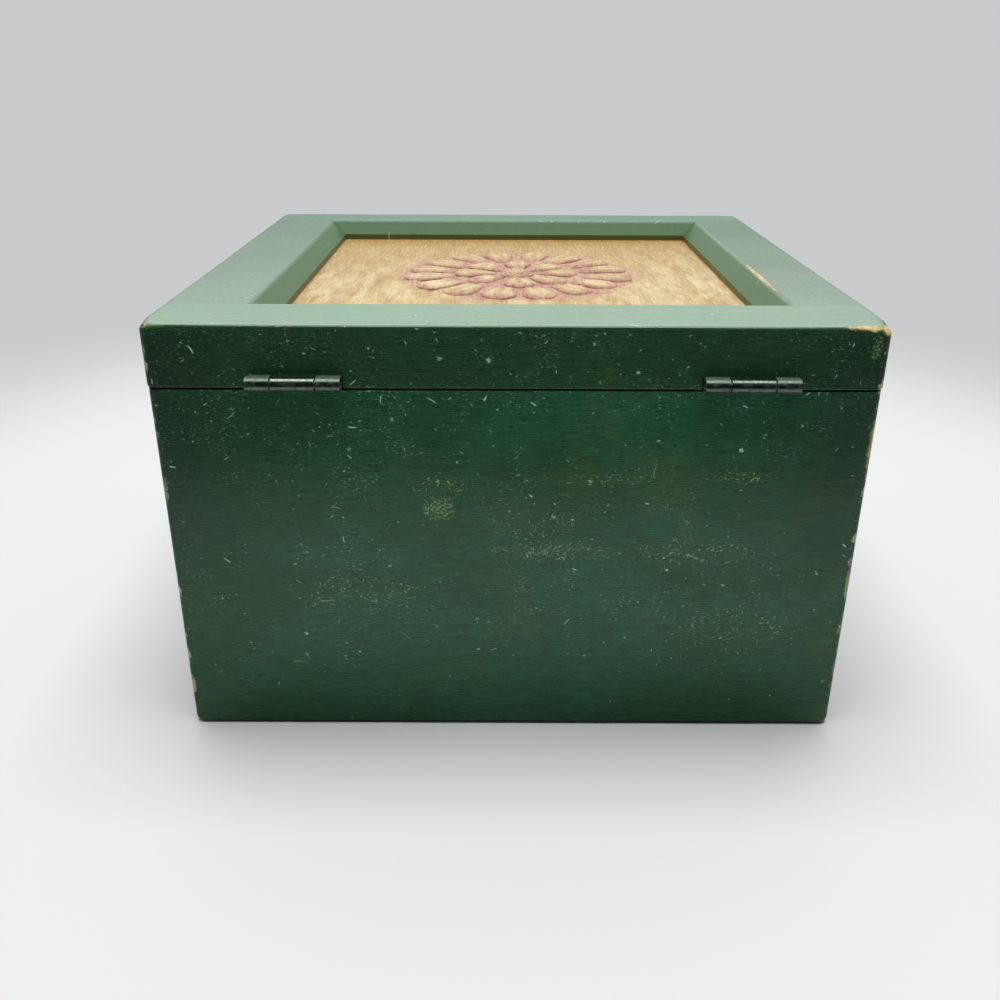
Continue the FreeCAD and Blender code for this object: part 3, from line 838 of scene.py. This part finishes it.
def setCopies(tree, ins, outs, plugs):
    copies = addNode("GeometryNodeInstanceOnPoints", plugs | {"Instance": ins["Geometry"]}).outputs[0]
    solid = addNode("GeometryNodeRealizeInstances", {0: copies}).outputs[0]
    done = addNode("GeometryNodeSetMaterial", {"Geometry": solid, "Material": ins["Finish"]}).outputs[0]
    return deliver(tree, outs, {"Geometry": done})


def drawValue(low, high, seed):
    plugs = {2: low, 3: high, "Seed": seed}
    return addNode("FunctionNodeRandomValue", plugs, data_type="FLOAT").outputs[1]


# copies of one petal turned round the rosette's centre
def makeRingTree():
    shape = rosetteShape
    tree, ins, outs, index = newSpread("petalRing", "Turn Sway Seed")
    plugs = {"Count": ins["Count"], "Start Location": ins["Centre"], "Offset": (0, 0, 0)}
    points = addNode("GeometryNodeMeshLine", plugs).outputs[0]
    angle = plus(times(index, maths("DIVIDE", math.tau, ins["Count"])), ins["Turn"])
    wobble = drawValue(times(ins["Sway"], -1.0), ins["Sway"], ins["Seed"])
    turn = joinXyz(0.0, 0.0, plus(angle, wobble))
    size = drawValue(shape["sizeLow"], shape["sizeHigh"], plus(ins["Seed"], 5.0))
    return setCopies(tree, ins, outs, {"Points": points, "Rotation": turn, "Scale": size})


# seeds on the boss, laid out by the golden angle
def makeSeedTree():
    tree, ins, outs, index = newSpread("seedHead", "Radius Dome")
    points = addNode("GeometryNodeMeshLine", {"Count": ins["Count"], "Offset": (0, 0, 0)}).outputs[0]
    part = maths("DIVIDE", plus(index, 0.5), ins["Count"])
    reach = times(maths("SQRT", part), ins["Radius"])
    angle = times(index, rosetteShape["goldenAngle"])
    x, y = (times(reach, maths(way, angle)) for way in ("COSINE", "SINE"))
    z = times(ins["Dome"], minus(1.0, times(part, part)))
    place = vectorMaths("ADD", joinXyz(x, y, z), ins["Centre"])
    spread = addNode("GeometryNodeSetPosition", {"Geometry": points, "Position": place}).outputs[0]
    return setCopies(tree, ins, outs, {"Points": spread})


def runTree(name, mesh, tree, values):
    source = newPiece(name + "Source", mesh)
    modifier = source.modifiers.new("nodes", "NODES")
    modifier.node_group = tree
    for item in tree.interface.items_tree:
        if item.in_out == "INPUT" and item.name in values:
            modifier[item.identifier] = values[item.name]
    bpy.context.view_layer.update()
    ready = source.evaluated_get(bpy.context.evaluated_depsgraph_get())
    result = bpy.data.meshes.new_from_object(ready)
    bpy.data.objects.remove(source)
    return result


def makeBoss(radius, height, sink, rings, spokes):
    bm = bmesh.new()
    angles = [math.tau * i / spokes for i in range(spokes)]
    loops = []
    for k in range(rings + 1):
        turn = 0.5 * math.pi * k / rings
        reach, lift = radius * math.cos(turn), height * math.sin(turn)
        places = [metres(reach * math.cos(angle), reach * math.sin(angle), lift) for angle in angles]
        loops.append([bm.verts.new(place) for place in places])
    base = [bm.verts.new((v.co.x, v.co.y, -sink / 1000)) for v in loops[0]]
    skinLoops(bm, [base] + loops)
    bm.faces.new(base[::-1])
    bmesh.ops.remove_doubles(bm, verts=bm.verts[:], dist=rosetteShape["weld"])
    bmesh.ops.recalc_face_normals(bm, faces=bm.faces[:])
    return finishMesh(bm, "boss")


def makeRosette():
    shape = rosetteShape
    middle = metres(*plaqueMiddle, plaqueFace - shape["bed"])
    ringTree, seedTree = makeRingTree(), makeSeedTree()
    shared = {"Centre": middle, "Finish": gilt["petal"]}
    meshes = []
    for name, ring in shape["rings"].items():
        values = {"Count": ring["count"], "Turn": ring["turn"], "Sway": shape["sway"], "Seed": ring["seed"]}
        meshes.append(runTree(name, makePetal(ring), ringTree, values | shared))
    radius, height = shape["bossRadius"], shape["bossHeight"]
    boss = makeBoss(radius, height, shape["petalSink"], shape["bossRings"], shape["bossSpokes"])
    boss.transform(Matrix.Translation(middle))
    size, flat = shape["seedSize"], shape["seedFlat"]
    grain = makeBoss(size, size * flat, shape["seedSink"], shape["seedRings"], shape["seedSpokes"])
    values = {"Count": shape["seedCount"], "Radius": radius * shape["seedReach"] / 1000}
    values.update({"Dome": height * shape["seedDome"] / 1000})
    meshes += [boss, runTree("seedHead", grain, seedTree, values | shared)]
    bm = bmesh.new()
    for mesh in meshes:
        bm.from_mesh(mesh)
    return finishMesh(bm, "rosette")


ground = newPiece("plaque_ground", makeGround(), gilt["ground"])
rosette = newPiece("plaque_rosette", makeRosette(), gilt["petal"])
for piece in (ground, rosette):
    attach(piece, "lid")
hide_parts("relief_plaque")
print("plaque ready:", len(ground.data.polygons), "+", len(rosette.data.polygons), "faces")

# worn boards: each CAD board cut into a finer net, then sanded, knocked and left a little uneven
wearShape = {  # lengths in mm
    "edge": 0.35, "edgeSpread": 0.9, "edgeLength": 17.0, "wave": 0.2, "waveLength": 34.0, "depth": 6.0,
    "nick": 1.8, "nickLength": 2.1, "nickLevel": 0.42, "nickShift": (31.0, 7.0, 3.0),
    "cuts": (0.3, 0.7, 1.2, 1.8, 2.6, 3.6, 5.0), "spacing": 8.0, "margin": 0.05, "weld": 0.0005,
    "flatAngle": 0.003, "sharpAngle": 38.0, "open": 1000.0,  # the rim that meets the other body stays square
    "corners": (  # body, which of its corners, extra radius, how far it reaches
        ("lid", (0, 1, 1), 2.3, 11.0), ("lid", (1, 1, 1), 2.0, 9.0),
        ("lid", (0, 0, 1), 0.8, 7.0), ("lid", (1, 0, 1), 1.0, 7.0),
        ("box", (0, 1, 0), 1.2, 8.0), ("box", (1, 1, 0), 0.9, 8.0),
        ("box", (0, 0, 0), 1.0, 8.0), ("box", (1, 0, 0), 1.2, 8.0),
    ),
}
knocks = []
for body, sides, extra, reach in wearShape["corners"]:
    knocks.append((Vector([bodyBox[body][side][i] for i, side in enumerate(sides)]), extra, reach))


def wearRadius(p):
    shape = wearShape
    rough = noise.noise(p / shape["edgeLength"]) * 0.5 + 0.5
    radius = shape["edge"] + shape["edgeSpread"] * rough * rough
    nick = noise.noise(p / shape["nickLength"] + Vector(shape["nickShift"])) - shape["nickLevel"]
    radius += shape["nick"] * max(0.0, nick)
    for place, extra, reach in knocks:
        away = (p - place).length / reach
        if away < 1.0:
            radius += extra * (1.0 - away * away) ** 2
    return radius


def sandPoint(p, low, high):
    shape, radius = wearShape, wearRadius(p)
    core = Vector([min(max(p[i], low[i] + radius), high[i] - radius) for i in range(3)])
    out = p - core
    if out.length > radius:
        p = core + out.normalized() * radius
    moved = p.copy()
    for i in range(3):
        for side, face in ((-1.0, low[i]), (1.0, high[i])):
            depth = abs(face - p[i])
            if depth < shape["depth"]:
                apart = Vector((i * 5.0, side * 3.0, 2.0))  # each face has its own unevenness
                uneven = noise.noise(p / shape["waveLength"] + apart) * 0.5 + 0.5
                moved[i] -= side * shape["wave"] * uneven * (1.0 - depth / shape["depth"])
    return moved


def cutPlaces(low, high, openLow, openHigh):
    places = set()
    for step in wearShape["cuts"]:
        if not openLow:
            places.add(low + step)
        if not openHigh:
            places.add(high - step)
    count = int((high - low) / wearShape["spacing"])
    places.update(low + (high - low) * k / count for k in range(1, count))
    return sorted(places)


def makeWornBoard(node, body):
    shape = wearShape
    low, high = [list(corner) for corner in bodyBox[body]]
    openLow, openHigh = body == "lid", body == "box"
    corner, far = [v * 1000 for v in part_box(node)]
    bm = bmesh.new()
    bm.from_mesh(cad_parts[node].data)
    bmesh.ops.scale(bm, vec=(1000, 1000, 1000), verts=bm.verts[:])
    bmesh.ops.remove_doubles(bm, verts=bm.verts[:], dist=shape["weld"])
    bmesh.ops.dissolve_limit(bm, angle_limit=shape["flatAngle"], verts=bm.verts[:], edges=bm.edges[:])
    for axis in range(3):
        normal = [float(i == axis) for i in range(3)]
        vertical = axis == 2
        for place in cutPlaces(low[axis], high[axis], vertical and openLow, vertical and openHigh):
            if corner[axis] + shape["margin"] < place < far[axis] - shape["margin"]:
                point = [place if i == axis else 0.0 for i in range(3)]
                every = bm.verts[:] + bm.edges[:] + bm.faces[:]
                bmesh.ops.bisect_plane(bm, geom=every, dist=shape["weld"], plane_co=point, plane_no=normal)
    if openLow:
        low[2] = -shape["open"]
    if openHigh:
        high[2] = shape["open"]
    for v in bm.verts:
        v.co = sandPoint(v.co, low, high) / 1000
    bmesh.ops.triangulate(bm, faces=[face for face in bm.faces if len(face.verts) > 4])
    mesh = finishMesh(bm, "worn_" + node)
    for layer in ("custom_normal", "sharp_face", "sharp_edge"):
        if layer in mesh.attributes:
            mesh.attributes.remove(mesh.attributes[layer])
    mesh.shade_smooth()
    mesh.set_sharp_from_angle(angle=math.radians(shape["sharpAngle"]))
    return mesh


# finishes for the CAD pieces
finishes = {"bottom_panel": bareBoards["bareTimber"], "lid_backing": bareBoards["pressedBoard"]}
for node in ("backing_brads", "box_leaf_screws", "lid_leaf_screws"):
    finishes[node] = steels["screwSteel"]
for node in ("hinge_left_lid_leaf", "hinge_right_lid_leaf"):
    finishes[node] = steels["daubedSteel"]

for body, coats in boards.items():
    for node, coat in coats.items():
        finishes[node] = paints[coat]
        board = newPiece("worn_" + node, makeWornBoard(node, body), paints[coat])
        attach(board, body)
        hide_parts(node)
        print("worn board", node, len(board.data.polygons), "faces")

for name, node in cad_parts.items():
    node.data.materials.clear()
    node.data.materials.append(finishes.get(name, steels["agedSteel"]))
print("finishes given to", len(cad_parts), "nodes")

# light: a broad lamp above, a bright backdrop side, a dim room on the hinge side
lightLook = {
    "lampPower": 10.6, "lampSize": 0.7, "lampPlace": (0.0, 0.06, 1.1),
    "shade": 0.06, "ambient": 0.5,  # bounced light from the hinge side and from the backdrop side
    "dim": 0.03, "low": 0.22, "bright": 2.05,  # what glossy surfaces see there, low and high
    "sides": (0.45, -0.35), "climb": (0.12, 0.3),  # headings: hinge to backdrop side, low to high
    "glossTint": (0.98, 1.0, 0.99, 1.0), "roomTint": (0.98, 0.99, 1.0, 1.0),
}
# stage: a pale floor that fades into the backdrop colour, sizes in metres
stageLook = {
    "floor": tint(236, 236, 236), "backdrop": tint(201, 203, 204), "nearFade": 0.26, "farFade": 0.5,
    "reach": 9.0, "corners": 96, "roughness": 0.7,
    "glow": (0.3, -0.3), "glowLevel": 0.7, "bounce": 0.6,  # the faded part in mirrored and bounced light
    "dark": (0.22, 0.355),  # the floor on the hinge side goes dim for mirrored light
    "foot": (0.1, 0.16, 0.42, 1.0), "footSide": (0.05, 0.1, 0.0, 0.75),  # weaker bounce close to the box
}


def makeStage():
    look = stageLook
    bm = bmesh.new()
    bmesh.ops.create_circle(bm, cap_ends=True, radius=look["reach"], segments=look["corners"])
    material = bpy.data.materials.new("paleFloor")
    floor = newPiece("floor", finishMesh(bm, "floor"), material)
    material.use_nodes = True
    tree = material.node_tree
    shader = tree.nodes["Principled BSDF"]
    shader.inputs["Roughness"].default_value = look["roughness"]
    place = tree.nodes.new("ShaderNodeTexCoord").outputs["Object"]
    path = tree.nodes.new("ShaderNodeLightPath").outputs
    px, py = splitXyz(place, (0, 1))
    level = ramp(py, *look["glow"], lightLook["dim"], look["glowLevel"])
    level = largest(level, times(path["Is Diffuse Ray"], look["bounce"]), path["Is Camera Ray"])
    # lightShare: how far the floor gives way to the glowing backdrop
    lightShare = ramp(lengthOf(place), look["nearFade"], look["farFade"])
    dark = times(ramp(py, *look["dark"]), path["Is Glossy Ray"])
    sideways, forward = maths("ABSOLUTE", px), maths("ABSOLUTE", py)
    foot = ramp(largest(sideways, forward), *look["foot"])
    foot = largest(foot, ramp(sideways, *look["footSide"]), path["Is Camera Ray"])
    tree.links.new(scaled(look["floor"][:3], foot), shader.inputs["Base Color"])
    glow = addNode("ShaderNodeEmission", {"Color": look["backdrop"], "Strength": level}).outputs[0]
    plugs = {0: largest(lightShare, dark), 1: shader.outputs[0], 2: glow}
    mixed = addNode("ShaderNodeMixShader", plugs).outputs[0]
    tree.links.new(mixed, tree.nodes["Material Output"].inputs["Surface"])


def makeLight():
    look = lightLook
    lamp = bpy.data.lights.new("softLamp", "AREA")
    lamp.energy = look["lampPower"]
    lamp.size = look["lampSize"]
    holder = bpy.data.objects.new("softLamp", lamp)
    holder.location = look["lampPlace"]
    holder.rotation_euler = (-Vector(look["lampPlace"])).to_track_quat("-Z", "Y").to_euler()
    scene.collection.objects.link(holder)
    world = bpy.data.worlds.new("studio")
    scene.world = world
    world.use_nodes = True
    tree = world.node_tree
    tree.nodes.clear()
    path = tree.nodes.new("ShaderNodeLightPath").outputs
    forward, upward = splitXyz(tree.nodes.new("ShaderNodeTexCoord").outputs["Generated"], (1, 2))
    climb = ramp(upward, *look["climb"], look["low"], look["bright"])
    level = ramp(forward, *look["sides"], look["dim"], climb)
    soft = ramp(forward, *look["sides"], look["shade"], look["ambient"])
    gloss, room, seen = (
        addNode("ShaderNodeBackground", {"Color": colour, "Strength": strength}, tree).outputs[0]
        for colour, strength in (
            (look["glossTint"], level), (look["roomTint"], soft), (stageLook["backdrop"], 1.0),
        )
    )
    mixed = addNode("ShaderNodeMixShader", {0: path["Is Glossy Ray"], 1: room, 2: gloss}).outputs[0]
    mixed = addNode("ShaderNodeMixShader", {0: path["Is Camera Ray"], 1: mixed, 2: seen}).outputs[0]
    addNode("ShaderNodeOutputWorld", {"Surface": mixed})


# camera where the photograph was taken, on the hinge side
cameraLook = {
    "lens": 35.74, "sensor": 36.0, "near": 0.01, "far": 50.0,
    "place": (0.0039, 0.3499, 0.1888), "tilt": 24.15, "roll": 0.22,
}


def makeCamera():
    look = cameraLook
    lens = bpy.data.cameras.new("camera")
    lens.lens = look["lens"]
    lens.sensor_width = look["sensor"]
    lens.sensor_fit = "HORIZONTAL"
    lens.clip_start = look["near"]
    lens.clip_end = look["far"]
    camera = bpy.data.objects.new("camera", lens)
    scene.collection.objects.link(camera)
    turn = Matrix.Rotation(math.pi, 4, "Z") @ Matrix.Rotation(math.radians(90 - look["tilt"]), 4, "X")
    turn = turn @ Matrix.Rotation(math.radians(look["roll"]), 4, "Z")
    camera.matrix_world = Matrix.Translation(look["place"]) @ turn
    scene.camera = camera


makeLight()
makeStage()
makeCamera()
print("stage, light and camera ready")
